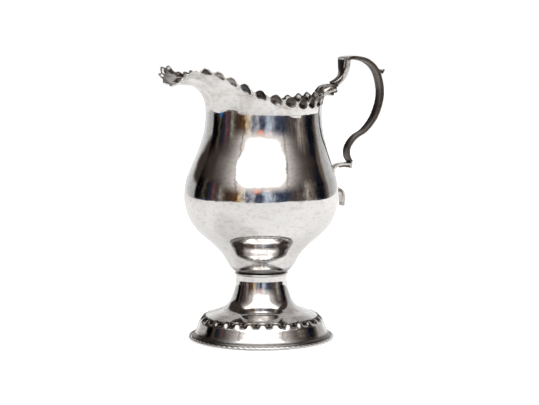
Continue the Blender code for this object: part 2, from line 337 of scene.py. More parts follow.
def smooth_curve(points, spans):
    """A smooth curve through the given points, with this many steps between each pair."""
    rows = np.array(points, float)
    slopes = np.gradient(rows, axis=0)
    t = np.linspace(0.0, 1.0, spans, endpoint=False)[:, None]
    start, end = (1 + 2 * t) * (1 - t) ** 2, t * t * (3 - 2 * t)
    leave, arrive = t * (1 - t) ** 2, t * t * (t - 1)
    parts = [start * rows[i] + end * rows[i + 1] + leave * slopes[i] + arrive * slopes[i + 1]
             for i in range(len(rows) - 1)]
    return np.concatenate(parts + [rows[-1:]])


def reach_along(curve, measure=3):
    """How far along the curve each of its points is, measured over its first few values."""
    gaps = np.linalg.norm(np.diff(curve[:, :measure], axis=0), axis=1)
    return np.concatenate(([0.0], np.cumsum(gaps)))


def at_reach(curve, goals, measure=3):
    """The curve's values at these distances along it."""
    reach = reach_along(curve, measure)
    return np.stack([np.interp(goals, reach, column) for column in curve.T], axis=1)


def even_spacing(curve, count, measure=3):
    """The curve's values at this many places, equally far apart."""
    return at_reach(curve, np.linspace(0.0, reach_along(curve, measure)[-1], count), measure)


def ease(value, low, high):
    """0 below low, 1 above high, and a smooth climb between."""
    t = np.clip((value - low) / (high - low), 0.0, 1.0)
    return t * t * (3.0 - 2.0 * t)


def unit(vectors):
    """The same directions, one long."""
    return vectors / np.maximum(np.linalg.norm(vectors, axis=-1, keepdims=True), 1e-9)


# ---------------------------------------------------------------------------------------------------- meshes


def skin(rings, hollows=None, closed=False):
    """Points, faces and hollow values of a skin over rings, capped at its ends unless it is closed."""
    rings = np.asarray(rings, float)
    rows, columns = rings.shape[:2]
    points = rings.reshape(-1, 3)
    depths = np.zeros(len(points)) if hollows is None else np.asarray(hollows, float).reshape(-1)
    index = np.arange(rows * columns).reshape(rows, columns)
    index = np.concatenate([index, index[:, :1]], axis=1)
    if closed:
        index = np.concatenate([index, index[:1]], axis=0)
    quads = np.stack([index[:-1, :-1], index[:-1, 1:], index[1:, 1:], index[1:, :-1]], axis=-1)
    faces = quads.reshape(-1, 4).tolist()
    if not closed:
        ends = np.stack([rings[0].mean(axis=0), rings[-1].mean(axis=0)])
        first, last = len(points), len(points) + 1
        points = np.concatenate([points, ends])
        depths = np.concatenate([depths, [depths[0], depths[-1]]])
        low, high = index[0], index[-1]
        faces += [[first, int(b), int(a)] for a, b in zip(low[:-1], low[1:])]
        faces += [[last, int(a), int(b)] for a, b in zip(high[:-1], high[1:])]
    return points, faces, depths


def outward(points, faces):
    """The faces again, turned over if they enclose a negative volume."""
    corners = np.array([face[:3] for face in faces])
    a, b, c = (points[corners[:, k]] for k in range(3))
    volume = np.einsum("ij,ij->i", a, np.cross(b, c)).sum()
    fourth = np.array([face for face in faces if len(face) == 4])
    if len(fourth):
        a, b, c = points[fourth[:, 0]], points[fourth[:, 2]], points[fourth[:, 3]]
        volume += np.einsum("ij,ij->i", a, np.cross(b, c)).sum()
    return faces if volume > 0.0 else [face[::-1] for face in faces]


def make_piece(name, skins, node, material, crease=60.0, grime_and_shade=None):
    """One object from closed skins; it stands for a CAD node, and takes its finish from a slot."""
    all_points, all_faces, all_depths = [], [], []
    first = 0
    for points, faces, depths in skins:
        all_points.append(points)
        all_faces += [[corner + first for corner in face] for face in outward(points, faces)]
        all_depths.append(depths)
        first += len(points)
    points = np.concatenate(all_points)
    mesh = bpy.data.meshes.new(name)
    mesh.from_pydata((points * MM + AXIS).tolist(), [], all_faces)
    mesh.attributes.new("hollow", "FLOAT", "POINT").data.foreach_set("value", np.concatenate(all_depths))
    if grime_and_shade is not None:
        mesh.attributes.new("grime_and_shade", "FLOAT", "POINT").data.foreach_set("value", grime_and_shade)
    mesh.shade_smooth()
    mesh.set_sharp_from_angle(angle=math.radians(crease))
    mesh.materials.append(material)
    piece = bpy.data.objects.new(name, mesh)
    bpy.context.scene.collection.objects.link(piece)
    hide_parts(node)
    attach(piece, "root")


def turned(profile, columns):
    """Rings of a turned shape, one for each radius and height."""
    angle = np.arange(columns) * TURN / columns
    return np.stack([np.stack([-r * np.cos(angle), r * np.sin(angle), np.full(columns, z)], axis=1)
                     for r, z in profile])


def profile_normals(profile):
    """The outward direction, in radius and height, at each point of an outline that runs upwards."""
    along = unit(np.gradient(np.asarray(profile, float)[:, :2], axis=0))
    return np.stack([along[:, 1], -along[:, 0]], axis=1)


def rounded(values, blend):
    """Values cut off at zero, with a soft corner there."""
    return 0.5 * (values + np.sqrt(values * values + blend * blend)) - 0.25 * blend


# ---------------------------------------------------------------------------------------------------- bowl


def rim_stations():
    """The rim at each column, round from the spout tip.

    A row holds the five values of RIM_OUTLINE, the width of the column's bead gap, the column's place in
    that gap, from -0.5 to 0.5 about its bead, and its distance along the rim, negative on the near side.
    """
    mirrored = [(forward, -side, height, slope, -bearing)
                for forward, side, height, slope, bearing in RIM_OUTLINE]
    after = list(mirrored[-2])
    after[BEARING] += 360.0
    half = smooth_curve([mirrored[1]] + RIM_OUTLINE + [after], 24)[24:-24]
    length = reach_along(half)[-1]
    marks = [-RIM_BEADS[0], *RIM_BEADS, length, 2.0 * length - RIM_BEADS[-1]]
    goals, gaps, shares = [], [], []
    for start, end in zip(marks, marks[1:]):
        for step in range(RIM_BEAD_COLUMNS):
            share = step / RIM_BEAD_COLUMNS
            goals.append(start + (end - start) * share)
            gaps.append(end - start)
            shares.append(share if share < 0.5 else share - 1.0)
    goals, gaps, shares = np.array(goals), np.array(gaps), np.array(shares)
    keep = (goals >= -1e-6) & (goals <= length + 1e-6)
    far = np.column_stack([at_reach(half, goals[keep]), gaps[keep], shares[keep], goals[keep]])
    near = far[-2:0:-1] * np.array([1.0, -1.0, 1.0, 1.0, -1.0, 1.0, -1.0, -1.0])
    return np.concatenate([far, near])


def swelling(reach, amount, middle, spread):
    """A smooth swelling of this amount, with its middle and its spread along the rim."""
    return amount * np.exp(-((reach - middle) / spread) ** 2)


def worked_height(reach):
    """How much the hand-worked rim sits above or below its true outline."""
    bent = sum(swelling(reach, *bend) for bend in LIP_BENDS)
    away = np.abs(reach)
    leaning = RIM_LEAN * np.sign(reach) * ease(away, 40.0, 62.0) * (1.0 - ease(away, 85.0, 99.0))
    return bent + leaning


def near_lip(reach):
    """1 along the near edge of the lip, where its beads are worn flat and its inner edge carries striped
    painted shade, and 0 elsewhere.
    """
    return ease(reach, -20.0, -17.0) * (1.0 - ease(reach, -2.0, 1.0))


def flare_grid(stations, rows_above):
    """Rings of the smooth outer wall from the neck to the rim, and how far each point is below the rim."""
    forward, side, height, slope, bearing = stations[:, :5].T
    rim = np.stack([-forward, side, height + worked_height(stations[:, ALONG])], axis=1)
    angle = np.radians(bearing)
    lift = np.radians(slope + swelling(stations[:, ALONG], *LIP_TURN))
    neck = np.stack([NECK_SHIFT - NECK_RADIUS * np.cos(angle), NECK_RADIUS * np.sin(angle),
                     np.full(len(angle), NECK_HEIGHT)], axis=1)
    step = np.roll(stations[:, :2], -1, axis=0) - np.roll(stations[:, :2], 1, axis=0)
    out = unit(np.stack([-step[:, 1], -step[:, 0], np.zeros(len(step))], axis=1))
    travel = rim - neck
    reach = np.linalg.norm(travel, axis=1)[:, None]
    level = unit(travel * np.array([1.0, 1.0, 0.0]))
    agreement = np.maximum(0.0, np.sum(out * level, axis=1))[:, None]
    front = np.maximum(0.0, np.cos(angle))[:, None] ** 2
    leave = np.array([0.0, 0.0, 1.0]) * reach * (0.8 + 1.0 * front)
    arrive = (out * np.cos(lift)[:, None] + np.array([0.0, 0.0, 1.0]) * np.sin(lift)[:, None])
    arrive = arrive * reach * (0.5 + 0.5 * agreement + 0.35 * front)
    t = np.linspace(0.0, 1.0, 81)[:, None, None]
    fine = (neck * ((1 + 2 * t) * (1 - t) ** 2) + rim * (t * t * (3 - 2 * t))
            + leave * (t * (1 - t) ** 2) + arrive * (t * t * (t - 1)))
    lengths = np.linalg.norm(np.diff(fine, axis=0), axis=2)
    along = np.concatenate([np.zeros((1, lengths.shape[1])), np.cumsum(lengths, axis=0)])
    total = along[-1]
    near_rim = np.arange(25) * 0.28
    rings, depths = [], []
    for row in range(1, rows_above + 1):
        depths.append(near_rim[-1] + (total - near_rim[-1]) * (1.0 - row / (rows_above + 1)))
    depths += [np.full(len(total), value) for value in near_rim[::-1]]
    for depth in depths:
        goal = total - depth
        rings.append(np.stack([[np.interp(goal[c], along[:, c], fine[:, c, axis]) for c in range(len(total))]
                               for axis in range(3)], axis=1))
    return np.stack(rings), np.stack(depths)


def bead_marks(stations, depths, random):
    """How deep the sheet is punched in at each point near the rim, and how dark its dent is painted: painted
    shade with tarnish.
    """
    beads = len(stations) // RIM_BEAD_COLUMNS
    number = np.arange(len(stations)) // RIM_BEAD_COLUMNS
    shift, drop, size = (random.normal(0.0, spread, beads) for spread in (0.10, 0.12, 0.04))
    dark = np.clip(random.normal(0.85, 0.08, beads), 0.0, 1.0)
    dark[-len(BEAD_SHADE_AND_TARNISH):] = BEAD_SHADE_AND_TARNISH[::-1]
    gap, share = stations[:, GAP], stations[:, PLACE]
    room = gap.reshape(beads, -1).min(axis=1)
    radius = (room * RIM_BEAD_SHARE * (1.0 + size))[number]
    across = share * gap + shift[number]
    along = depths - (RIM_BEAD_DROP * np.minimum(1.0, radius / 2.3) + drop[number])
    along = np.where(along > 0.0, along / RIM_BEAD_TAIL, along)
    inside = 1.0 - (across ** 2 + along ** 2) / radius ** 2
    worn = 1.0 - 0.85 * near_lip(stations[:, ALONG])
    punched = radius * RIM_BEAD_DEPTH * worn * rounded(inside, 0.16)
    # Painted shade, with tarnish, darkens the inside of each punched dent.
    dent_shade_and_tarnish = np.clip(inside * 3.0, 0.0, 1.0) * dark[number] * worn
    return punched, dent_shade_and_tarnish


def hammered(points, amount):
    """Shallow planishing unevenness for each point, along its normal."""
    x, y, z = (points[..., k] for k in range(3))
    waves = np.sin(0.33 * x + 0.21 * z + 1.7)
    waves = waves + np.sin(0.29 * y - 0.27 * z + 0.4)
    waves = waves + np.sin(0.41 * z + 0.17 * x)
    waves = waves + np.sin(0.23 * (x + y) + 2.1)
    waves = waves + 0.6 * np.sin(0.61 * y + 0.53 * x - 0.2)
    return amount * waves


def lining_tarnish_and_shade(edge, stations):
    """How dark the inside is: brown tarnish all over, and black stripes of painted shade along the near edge
    of the lip.
    """
    reach = stations[:, ALONG]
    spout = swelling(reach, 0.26, 0.0, SPOUT_SPREAD)
    shade_stripes = 0.75 + 0.25 * np.sin(TURN * reach / SHADE_STRIPE)
    # Painted shade: black stripes along the near edge of the lip.
    lip_edge_shade = 0.85 * (1.0 - ease(edge, 0.9, 2.4)) * near_lip(reach) * shade_stripes
    domes = 0.45 * (1.0 - ease(edge, 3.0, 4.2)) * (1.0 - near_lip(reach))
    return 0.28 - spout + lip_edge_shade + domes


def bowl_grime(rings, edge, stations, inner_rows):
    """How dull each point of the bowl's sheet is; the lining's rows come last."""
    grime_and_shade = rim_grime(rings.reshape(-1, 3)).reshape(rings.shape[:2])
    around_beads = 0.45 * (1.0 - ease(edge, 1.5, 5.5)) * ease(np.abs(stations[:, ALONG]), 10.0, 24.0)
    grime_and_shade[:len(edge)] += around_beads
    grime_and_shade[-inner_rows:] = 1.1 - swelling(stations[:, ALONG], 0.95, 0.0, SPOUT_SPREAD)
    caps = [0.0, 0.0]
    return np.concatenate([grime_and_shade.reshape(-1), caps])


def rim_grime(points):
    """Where handling and old polish have left the flare duller: high up, and more towards the handle."""
    x, z = points[:, 0], points[:, 2]
    return ease(z, NECK_HEIGHT - 1.0, NECK_HEIGHT + 6.0) * (0.2 + 0.9 * ease(x, -20.0, 10.0))


def build_bowl(material):
    """The bowl: one raised sheet with a rolled-over edge, its beads punched inwards along the rim."""
    random = np.random.default_rng(7)
    stations = rim_stations()
    angle = np.radians(stations[:, BEARING])
    low = even_spacing(smooth_curve(BOWL_PROFILE, 12), 64, 2)
    lower = np.stack([np.stack([NECK_SHIFT * ease(z, 66.0, 96.0) - r * np.cos(angle), r * np.sin(angle),
                                np.full(len(angle), z)], axis=1) for r, z in low])
    flare, depths = flare_grid(stations, 26)
    smooth = np.concatenate([lower, flare])
    punched, dent_shade_and_tarnish = bead_marks(stations, depths, random)
    marks = np.maximum(np.concatenate([np.zeros(lower.shape[:2]), punched]), 0.0)
    # Painted shade low on the bowl, where it sits on the collar.
    seat_shade = 0.6 * (1.0 - ease(lower[..., 2], 31.0, 33.0))
    hollow = np.concatenate([seat_shade, dent_shade_and_tarnish])
    edge = np.concatenate([np.full(lower.shape[:2], 99.0), depths])
    climb = unit(np.gradient(smooth, axis=0))
    along = np.roll(smooth, -1, axis=1) - np.roll(smooth, 1, axis=1)
    normal = unit(np.cross(climb, along))
    lift = SCALLOP * np.cos(TURN * stations[:, PLACE]) * np.clip(1.0 - edge / SCALLOP_REACH, 0.0, 1.0) ** 2
    base = smooth + climb * lift[..., None] - normal * marks[..., None]
    base = base + normal * (hammered(smooth, 0.010) * ease(edge, 3.0, 9.0))[..., None]
    lining = (base - normal * WALL)[::2][::-1]
    lips = np.stack([base[-1] + climb[-1] * 0.22 - normal[-1] * 0.14,
                     base[-1] + climb[-1] * 0.30 - normal[-1] * WALL * 0.5,
                     base[-1] + climb[-1] * 0.22 - normal[-1] * (WALL - 0.14)])
    rings = np.concatenate([base, lips, (base - normal * WALL)[-1:], lining])
    inside = lining_tarnish_and_shade(edge, stations)[::2][::-1]
    grooves = np.concatenate([hollow, np.zeros((4, len(stations))), inside])
    grime_and_shade = bowl_grime(rings, edge, stations, len(lining))
    make_piece("bowl_finish", [skin(rings, grooves)], "bowl", material, 75.0, grime_and_shade)


# ---------------------------------------------------------------------------------------------------- foot


def foot_painted_shade(points):
    """Painted shade on the foot: dull brown on its shoulder, more on the camera's left, low all round its
    skirt, and up the skirt's left side.
    """
    x, y, z = points.T
    radius = np.hypot(x, y)
    # The shade is measured across the camera's view, darker on the camera's left.
    aside = x * math.cos(FOOT_SHADE_BEARING) + y * math.sin(FOOT_SHADE_BEARING)
    shoulder = ease(radius, 14.0, 18.0) * ease(z, 8.0, 9.5)
    skirt = 0.3 * (1.0 - ease(z, 2.2, 7.0))
    skirt = skirt + 0.7 * (1.0 - ease(aside, -29.0, -18.0)) * (1.0 - ease(z, 6.0, 10.0))
    return (0.65 - 0.35 * ease(aside, -10.0, 20.0)) * shoulder + skirt * (radius > 20.0)


def foot_outline():
    """The foot's outline, sampled finely around the beads' arches, and how far each point is below them."""
    curve = smooth_curve(FOOT_PROFILE, 16)[16:]
    reach = reach_along(curve, 2)
    top = np.interp(FOOT_BEAD_TOP, curve[:, 1], reach)
    goals = np.concatenate([
        np.linspace(0.0, top - 4.5, 24, endpoint=False),
        np.arange(top - 4.5, top + 1.2, 0.15),
        np.linspace(top + 1.2, reach[-1], 50),
    ])
    profile = np.concatenate([[FOOT_PROFILE[0]], at_reach(curve, goals, 2)])
    reach = reach_along(profile, 2)
    return profile, np.interp(FOOT_BEAD_TOP, profile[:, 1], reach) - reach


def foot_marks(place_across, below, size):
    """How far a row of the foot stands out from its ground, and the painted shade in the valleys between
    beads.
    """
    wide = FOOT_BEAD_RADIUS * size
    away = np.hypot(place_across, np.minimum(below - wide, 0.0))
    inside = np.maximum(rounded(1.0 - (away / (wide - 0.45)) ** 2, 0.15), 0.0)
    inside = inside + (1.0 - inside) * ease(below, 1.9, 4.0)
    cord = CORD_RISE * np.exp(-((away - wide + 0.1) / CORD_WIDTH) ** 2) * (1.0 - ease(below, 1.2, 2.4))
    mark = FOOT_BEAD_RISE * inside + cord
    ground = 1.0 - np.clip(mark / FOOT_BEAD_RISE, 0.0, 1.0)
    # Painted shade in the valleys between the beads.
    valley_shade = 1.2 * ease(below, 0.0, 0.7) * (1.0 - ease(below, 2.2, 4.2)) * ground
    return mark, valley_shade


def build_foot(material):
    """The raised foot, hollow underneath, with teardrop beads pushed outwards below its shoulder."""
    random = np.random.default_rng(11)
    columns = FOOT_BEADS * FOOT_BEAD_COLUMNS
    profile, down = foot_outline()
    step = np.arange(columns)
    angle = step * TURN / columns
    number = (step + FOOT_BEAD_COLUMNS // 2) // FOOT_BEAD_COLUMNS % FOOT_BEADS
    share = (step + FOOT_BEAD_COLUMNS // 2) % FOOT_BEAD_COLUMNS / FOOT_BEAD_COLUMNS - 0.5
    size = 1.0 + random.normal(0.0, 0.04, FOOT_BEADS)[number]
    slip = random.normal(0.0, 0.12, FOOT_BEADS)[number]
    outer, hollows, inner = [], [], []
    for (radius, height), (across, up), below in zip(profile, profile_normals(profile), down):
        mark, valley_shade = foot_marks(share * TURN * radius / FOOT_BEADS, below + slip, size)
        full = radius + mark * across
        outer.append(np.stack([-full * np.cos(angle), full * np.sin(angle), height + mark * up], axis=1))
        groove = 0.8 * (1.0 - ease(height, 2.0, 3.0)) if radius > 28.0 and height > 0.9 else 0.0
        hollows.append(valley_shade + groove)
        thin = radius - 1.2 if height < 0.01 else radius + (mark - WALL) * across
        under = height if height < 0.01 else np.minimum(height + (mark - WALL) * up, STEM_TOP - WALL)
        inner.append(np.stack([-thin * np.cos(angle), thin * np.sin(angle),
                               np.broadcast_to(under, angle.shape)], axis=1))
    lining = np.stack(inner[:2] + inner[2::3])[::-1]
    rings = np.concatenate([lining, np.stack(outer)])
    grooves = np.concatenate([np.zeros(lining.shape[:2]), np.stack(hollows)])
    sheet = skin(rings, grooves)
    make_piece("foot_finish", [sheet], "foot", material, 75.0, foot_painted_shade(sheet[0]))


def build_collar(material):
    """The rounded seat ring between the foot and the bowl."""
    middle = (COLLAR_BOTTOM + COLLAR_TOP) / 2.0
    half = (COLLAR_TOP - COLLAR_BOTTOM) / 2.0
    bend = np.radians(np.linspace(-90.0, 90.0, 13))
    profile = np.stack([COLLAR_RADIUS - half + half * np.cos(bend), middle + half * np.sin(bend)], axis=1)
    ring = skin(turned(profile, 160))
    make_piece("foot_collar_finish", [ring], "foot_collar", material, 80.0)


def build_foot_wire(material):
    """The rope-twist wire around the edge of the foot, worn smoother at the front."""
    columns, sides = 1200, 14
    round_foot = np.arange(columns) * TURN / columns
    side = np.arange(sides) * TURN / sides
    wear = 0.20 - 0.15 * np.cos(round_foot + 1.7)[:, None]
    lobe = np.cos(2.0 * (side[None, :] - round_foot[:, None] * WIRE_TWISTS))
    radius = WIRE_RADIUS * (1.0 - wear + wear * lobe)
    out = WIRE_RING_RADIUS + radius * np.cos(side)
    height = WIRE_HEIGHT + radius * np.sin(side)
    rings = np.stack([-out * np.cos(round_foot)[:, None], out * np.sin(round_foot)[:, None], height], axis=2)
    # Painted shade in the grooves between the twisted strands, deeper where the wire is less worn.
    hollows = np.clip(-0.1 - 1.1 * lobe, 0.0, 1.0) * np.clip(wear / 0.2, 0.0, 1.0)
    wire = skin(rings, hollows, closed=True)
    make_piece("foot_wire_finish", [wire], "foot_wire", material, 80.0)


# ---------------------------------------------------------------------------------------------------- handle


def strap_section(width, thickness, hollow, crown, groove):
    """A strap's cut end, across and outwards, with round edges, a hollowed inner face and grooved sides."""
    half, deep = width / 2.0, thickness / 2.0
    edge = min(half, deep) * 0.35
    top = np.linspace(-1.0, 1.0, 15)
    outer = np.stack([top * (half - edge), deep + crown * (1.0 - top ** 2)], axis=1)
    bend = np.radians([75.0, 50.0, 25.0, 8.0, 0.0, -25.0, -50.0, -75.0])
    right = np.stack([half - edge + edge * np.cos(bend),
                      (deep - edge) * np.sign(bend) + edge * np.sin(bend)], axis=1)
    right[:, 0] -= groove * np.exp(-(right[:, 1] / (0.25 * thickness)) ** 2)
    inner = np.stack([-top * (half - edge), -deep + hollow * (1.0 - top ** 2)], axis=1)
    left = right[::-1] * np.array([-1.0, 1.0])
    return np.concatenate([outer, right, inner, left])


def strap(points, hollow=(0.2, 0.2), crown=0.0, groove=0.0, flutes=0.0, side_shade=0.0):
    """A closed skin that follows a curve in the plane of the handle; the inner face is hollowed along it."""
    curve = even_spacing(smooth_curve(points, STRAP_SPANS), STRAP_SPANS * (len(points) - 1) + 1, 2)
    along = unit(np.gradient(curve[:, :2], axis=0))
    rings, hollows = [], []
    for index, ((x, z, width, thickness), (run, climb)) in enumerate(zip(curve, along)):
        share = index / (len(curve) - 1)
        depth = hollow[0] + (hollow[1] - hollow[0]) * share
        section = strap_section(width, thickness, depth, crown, groove)
        u = section[:, 0] / (width / 2.0)
        if flutes:
            waves = np.abs(np.cos(FLUTE_LOBES * math.pi * u / 2.0)) - 0.6
            section[:, 1] += flutes * (section[:, 1] > 0.0) * waves
        ring = np.stack([x + climb * section[:, 1], section[:, 0], z - run * section[:, 1]], axis=1)
        rings.append(ring)
        # Painted shade on the strap's inner face, darker where it is hollowed deeper, and on its sides when
        # a side amount is given.
        inner_face_shade = (section[:, 1] < 0.0) * (1.0 - u ** 6) * min(0.92, 0.66 + depth)
        sides = side_shade * ease(-2.0 * section[:, 1] / thickness, -0.66, -0.1)
        hollows.append(np.clip(np.maximum(inner_face_shade, sides), 0.0, 1.0))
    rings = np.stack(rings)
    ends = []
    for end, beside in ((rings[0], rings[1]), (rings[-1], rings[-2])):
        middle = end.mean(axis=0)
        ends.append(middle + (end - middle) * 0.8 + unit((end - beside).mean(axis=0)) * 0.12)
    rings = np.concatenate([[ends[0]], rings, [ends[1]]])
    hollows = np.concatenate([hollows[:1], hollows, hollows[-1:]])
    return skin(rings, hollows)


def plate(x, z, half_length, half_width, half_thickness):
    """A flat oval plate with a soft edge, painted dark all round as shade under the arm."""
    columns = 48
    turn = np.arange(columns) * TURN / columns
    rings = []
    for bend in np.radians(np.linspace(-90.0, 90.0, 9)):
        size = 1.0 - 0.3 * (1.0 - math.cos(bend))
        height = z + half_thickness * math.sin(bend)
        rings.append(np.stack([x + half_length * size * np.cos(turn), half_width * size * np.sin(turn),
                               np.full(columns, height)], axis=1))
    # The whole plate is painted dark: painted shade under the arm.
    return skin(rings, np.ones((len(rings), columns)))


def roll(x, z, radius, width):
    """A small roll that lies across the handle's plane, darker at its ends."""
    columns = 28
    turn = np.arange(columns) * TURN / columns
    rings, hollows = [], []
    for share in np.linspace(-1.0, 1.0, 15):
        size = radius * (1.0 - 0.35 * abs(share) ** 6)
        rings.append(np.stack([x + size * np.cos(turn), np.full(columns, share * width / 2.0),
                               z + size * np.sin(turn)], axis=1))
        # Tarnish all over, and painted shade at the roll's ends.
        hollows.append(np.full(columns, 0.2 + 0.6 * abs(share) ** 8))
    return skin(rings, hollows)


def build_handle(material):
    """The cast handle: a C-scroll with a spur, an arm to the leaf on the rim, and a lower scroll."""
    parts = (
        ("handle_c_scroll", [strap(C_SCROLL, hollow=(0.20, 0.32), crown=0.12, side_shade=0.94)]),
        ("handle_upper_arm", [strap(UPPER_ARM[::-1], hollow=(0.4, 1.3), crown=0.1), plate(*ARM_PLATE)]),
        ("rim_leaf", [strap(RIM_LEAF, crown=0.5, flutes=0.7), *(roll(*numbers) for numbers in LEAF_ROLLS)]),
        ("handle_lower_scroll", [strap(LOWER_SCROLL, hollow=(0.3, 0.3), crown=0.15, groove=0.35)]),
        ("handle_spur", [strap(SPUR, hollow=(0.0, 0.0))]),
    )
    for node, skins in parts:
        make_piece(node + "_finish", skins, node, material, 50.0)


# ---------------------------------------------------------------------------------------------------- nodes


class Graph:
    """Short ways to add and link shader nodes."""

    def __init__(self, tree):
        self.tree = tree

    def add(self, kind, **settings):
        node = self.tree.nodes.new(kind)
        for key, value in settings.items():
            setattr(node, key, value)
        return node

    def feed(self, socket, value):
        if isinstance(value, bpy.types.NodeSocket):
            self.tree.links.new(value, socket)
        else:
            socket.default_value = value

    def math(self, operation, *values, clamp=False):
        node = self.add("ShaderNodeMath", operation=operation, use_clamp=clamp)
        for socket, value in zip(node.inputs, values):
            self.feed(socket, value)
        return node.outputs[0]

    def vector(self, operation, *values):
        node = self.add("ShaderNodeVectorMath", operation=operation)
        for socket, value in zip(node.inputs, values):
            self.feed(socket, value)
        return node.outputs["Value" if operation in ("DOT_PRODUCT", "LENGTH") else "Vector"]

    def remap(self, value, low, high, to_low=0.0, to_high=1.0):
        node = self.add("ShaderNodeMapRange", interpolation_type="SMOOTHSTEP")
        for socket, number in zip(node.inputs, (value, low, high, to_low, to_high)):
            self.feed(socket, number)
        return node.outputs[0]

    def noise(self, vector, scale, detail=2.0, roughness=0.5, dimensions="3D"):
        node = self.add("ShaderNodeTexNoise", noise_dimensions=dimensions)
        self.feed(node.inputs["Vector"], vector)
        node.inputs["Scale"].default_value = scale
        node.inputs["Detail"].default_value = detail
        node.inputs["Roughness"].default_value = roughness
        return node.outputs["Fac"]

    def ramp(self, value, stops):
        node = self.add("ShaderNodeValToRGB")
        self.feed(node.inputs[0], value)
        elements = node.color_ramp.elements
        while len(elements) < len(stops):
            elements.new(0.5)
        for element, (place, color) in zip(elements, stops):
            element.position = place
            element.color = (*color, 1.0)
        return node.outputs["Color"]

    def mix(self, share, first, second, mode="MIX"):
        node = self.add("ShaderNodeMix", data_type="RGBA", blend_type=mode)
        colors = [socket for socket in node.inputs if socket.type == "RGBA"]
        self.feed(node.inputs["Factor"], share)
        for socket, value in zip(colors, (first, second)):
            self.feed(socket, (*value, 1.0) if isinstance(value, tuple) and len(value) == 3 else value)
        return [socket for socket in node.outputs if socket.type == "RGBA"][0]

    def combine(self, x, y, z):
        node = self.add("ShaderNodeCombineXYZ")
        for socket, value in zip(node.inputs, (x, y, z)):
            self.feed(socket, value)
        return node.outputs[0]


def silver(name, bright, tarnish, wear):
    """Polished silver: soft planishing marks, fine scratches, and dark colour in the hollows, which is
    tarnish in some and painted shade in others.
    """
    material = bpy.data.materials.new(name)
    material.use_nodes = True
    shader = material.node_tree.nodes["Principled BSDF"]
    graph = Graph(material.node_tree)
    spot = graph.add("ShaderNodeTexCoord").outputs["Object"]
    hollow = graph.add("ShaderNodeAttribute", attribute_name="hollow").outputs["Fac"]
    # This attribute holds dulling tarnish on the bowl and painted shade on the foot.
    grime_and_shade = graph.add("ShaderNodeAttribute", attribute_name="grime_and_shade").outputs["Fac"]

    tilted = graph.vector("MULTIPLY", spot, (1.0, 1.0, 1.7))
    patches = graph.noise(tilted, 95.0, 6.0, 0.68)
    flecks = graph.noise(tilted, 420.0, 3.0, 0.6)
    # The film mixes tarnish with the painted shade that the foot's attribute carries.
    film = graph.math("MULTIPLY", graph.remap(patches, 0.42, 0.66), graph.math("ADD", grime_and_shade, wear["film"]))
    spots = graph.remap(flecks, 0.48, 0.66, 0.0, wear["spots"])
    dull = graph.math("ADD", film, spots, clamp=True)
    # The hollow attribute darkens towards the crevice colour: tarnish, and painted shade in dents, valleys,
    # seams and inner faces.
    crevice = graph.math("MULTIPLY", hollow, wear["hollow"], clamp=True)
    stain = graph.math("MAXIMUM", dull, crevice)
    color = graph.mix(dull, bright, tarnish)
    graph.feed(shader.inputs["Base Color"], graph.mix(crevice, color, wear["crevice"]))
    shader.inputs["Metallic"].default_value = 1.0

    rubbed = graph.noise(spot, 240.0, 4.0, 0.7)
    gloss = graph.remap(rubbed, 0.35, 0.75, wear["gloss"][0], wear["gloss"][1])
    graph.feed(shader.inputs["Roughness"], graph.math("ADD", gloss, graph.math("MULTIPLY", stain, 0.28)))

    stretched = graph.vector("MULTIPLY", spot, (1.0, 1.0, 0.12))
    scratches = graph.noise(stretched, 2600.0, 2.0, 0.6)
    planish = graph.noise(spot, 260.0, 3.0, 0.55)
    waves = graph.noise(spot, 60.0, 2.0, 0.4)
    height = graph.math("ADD", graph.math("MULTIPLY", planish, wear["planish"]),
                        graph.math("MULTIPLY", waves, wear["waves"]))
    height = graph.math("ADD", height, graph.math("MULTIPLY", scratches, wear["scratch"]))
    bump = graph.add("ShaderNodeBump")
    bump.inputs["Strength"].default_value = 1.0
    bump.inputs["Distance"].default_value = 0.001
    graph.feed(bump.inputs["Height"], height)
    graph.feed(shader.inputs["Normal"], bump.outputs["Normal"])
    return material


# ---------------------------------------------------------------------------------------------------- stage


def towards_camera():
    """The level direction from the jug to the camera."""
    return np.array([math.sin(CAMERA_BEARING), -math.cos(CAMERA_BEARING), 0.0])


def camera_right():
    """The level direction to the camera's right."""
    return np.array([math.cos(CAMERA_BEARING), math.sin(CAMERA_BEARING), 0.0])


def place(point):
    """Millimetres about the bowl's axis, as metres in the frame."""
    return Vector(np.asarray(point, float) * MM + AXIS)


def build_camera():
    """The camera, a little above the spout, in front of the jug and to the spout's side."""
    eye = towards_camera() * CAMERA_DISTANCE + np.array([0.0, 0.0, CAMERA_HEIGHT])
    aim = camera_right() * AIM_ASIDE + np.array([0.0, 0.0, AIM_HEIGHT])
    data = bpy.data.cameras.new("camera")
    data.lens = LENS
    data.sensor_width = SENSOR
    data.clip_start = 0.01
    data.clip_end = 20.0
    camera = bpy.data.objects.new("camera", data)
    bpy.context.scene.collection.objects.link(camera)
    camera.location = place(eye)
    camera.rotation_euler = (place(aim) - place(eye)).to_track_quat("-Z", "Y").to_euler()
    bpy.context.scene.camera = camera


